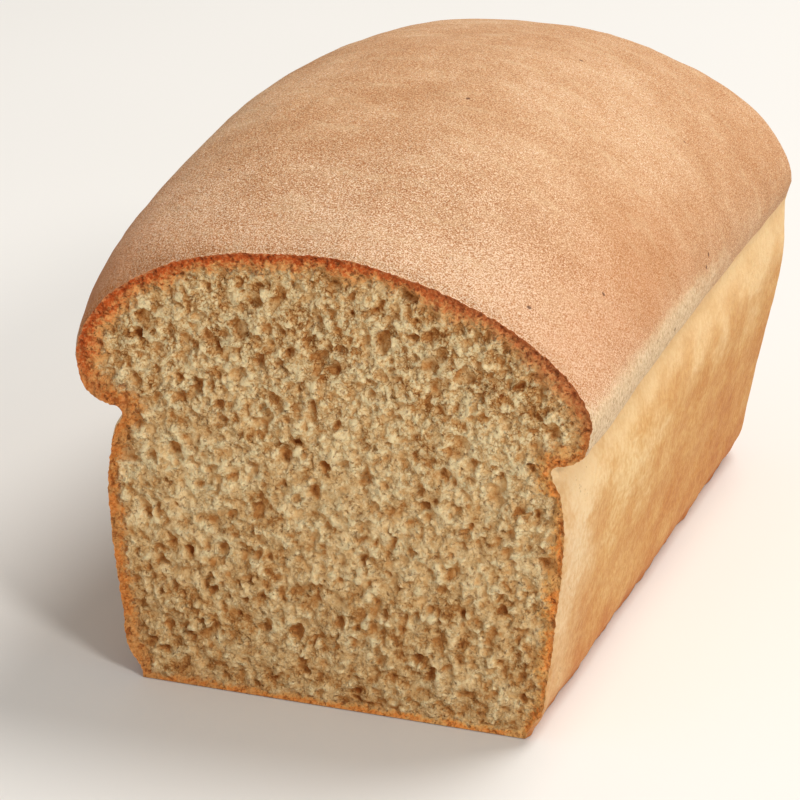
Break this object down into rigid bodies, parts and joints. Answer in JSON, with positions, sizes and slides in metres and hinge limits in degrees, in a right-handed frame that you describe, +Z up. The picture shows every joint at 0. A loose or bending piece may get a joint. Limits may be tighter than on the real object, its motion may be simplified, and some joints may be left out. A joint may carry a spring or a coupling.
{
  "type": "tin loaf",
  "caption": "Tin loaf of bread with its near end sliced off: straight tin-shaped walls, an overhanging lip, a high domed crust and a flat cut face that shows the crumb.",
  "frame": {"origin": "on the surface the loaf stands on, under the middle of its bounding box", "axes": "+Y along the loaf, from the cut face to the whole end; +X to the right of someone who faces the cut face; +Z up"},
  "size_m": [0.1384, 0.2206, 0.1355],
  "materials": {
    "bread": "matte"
  },
  "bodies": {
    "root": {"loaf": "bread"}
  },
  "joints": []
}
